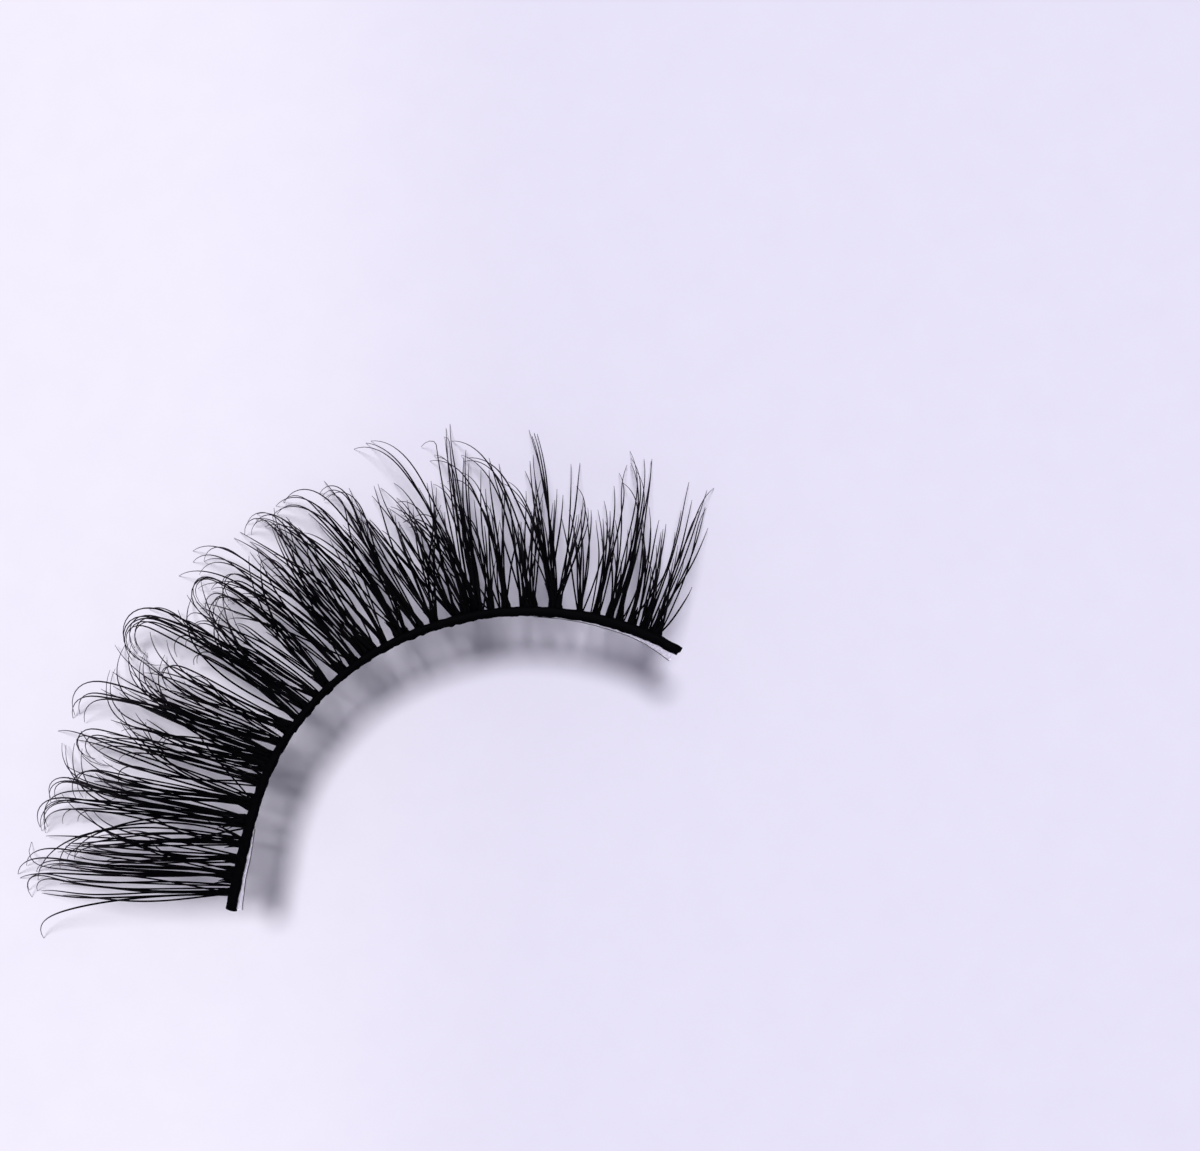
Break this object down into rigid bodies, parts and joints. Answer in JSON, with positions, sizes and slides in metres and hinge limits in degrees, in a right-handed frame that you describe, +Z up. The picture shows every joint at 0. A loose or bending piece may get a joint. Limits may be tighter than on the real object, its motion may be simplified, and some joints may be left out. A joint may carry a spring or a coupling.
{
  "type": "false eyelash strip",
  "caption": "Curved black false eyelash strip for one eye, lying on its lash tips: long curled lashes in tufts on a slim glued band, with slivers of clear dried glue.",
  "frame": {"origin": "under the middle of the strip's bounding box, at the level of the lash tips that it stands on", "axes": "+Z up as it lies, out of the band's adhesive face; +X along the band's chord to the outer corner, where the lashes are longest; -Y to the lash side"},
  "size_m": [0.0488, 0.0196, 0.0087],
  "materials": {
    "glued_band": "black dried latex glue over cotton thread, satin",
    "lash_hair": "black synthetic lash hair, soft sheen",
    "dried_glue": "clear dried lash glue, glossy"
  },
  "bodies": {
    "root": {"band": "glued_band", "lash_fringe": "lash_hair", "outer_glue_film": "dried_glue", "inner_glue_film": "dried_glue"}
  },
  "joints": []
}
